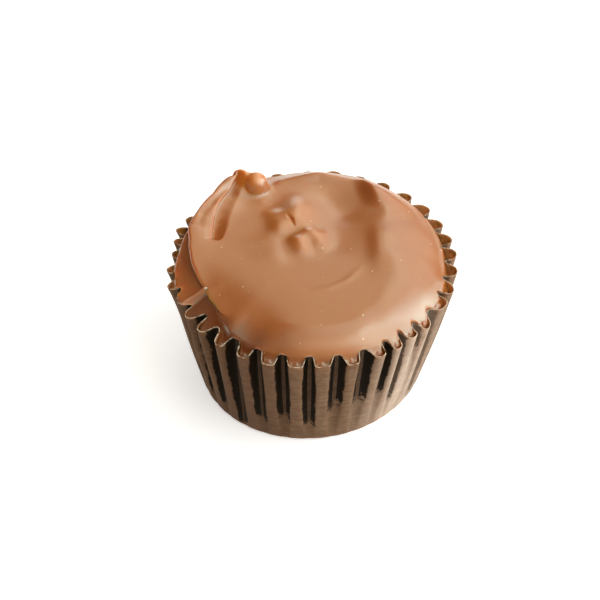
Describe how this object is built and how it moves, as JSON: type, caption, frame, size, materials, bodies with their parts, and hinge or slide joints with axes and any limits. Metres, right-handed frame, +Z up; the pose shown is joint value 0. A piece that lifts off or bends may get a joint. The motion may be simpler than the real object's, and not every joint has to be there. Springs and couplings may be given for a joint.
{
  "type": "chocolate crispy cup",
  "caption": "Crisped rice set in milk chocolate, poured into a small pleated brown paper case, with a glossy uneven top that stands above the rim.",
  "frame": {"origin": "on the surface that the cup stands on, under the middle of the case's rim", "axes": "+Z up, -Y towards the front of the cup as pictured, +X to its right"},
  "size_m": [0.0456, 0.0455, 0.0273],
  "materials": {
    "paper": "brown greaseproof baking paper, faint sheen, grease-stained where the chocolate touches it",
    "chocolate": null
  },
  "bodies": {
    "root": {"paper_case": "paper", "chocolate": "chocolate"}
  },
  "joints": []
}
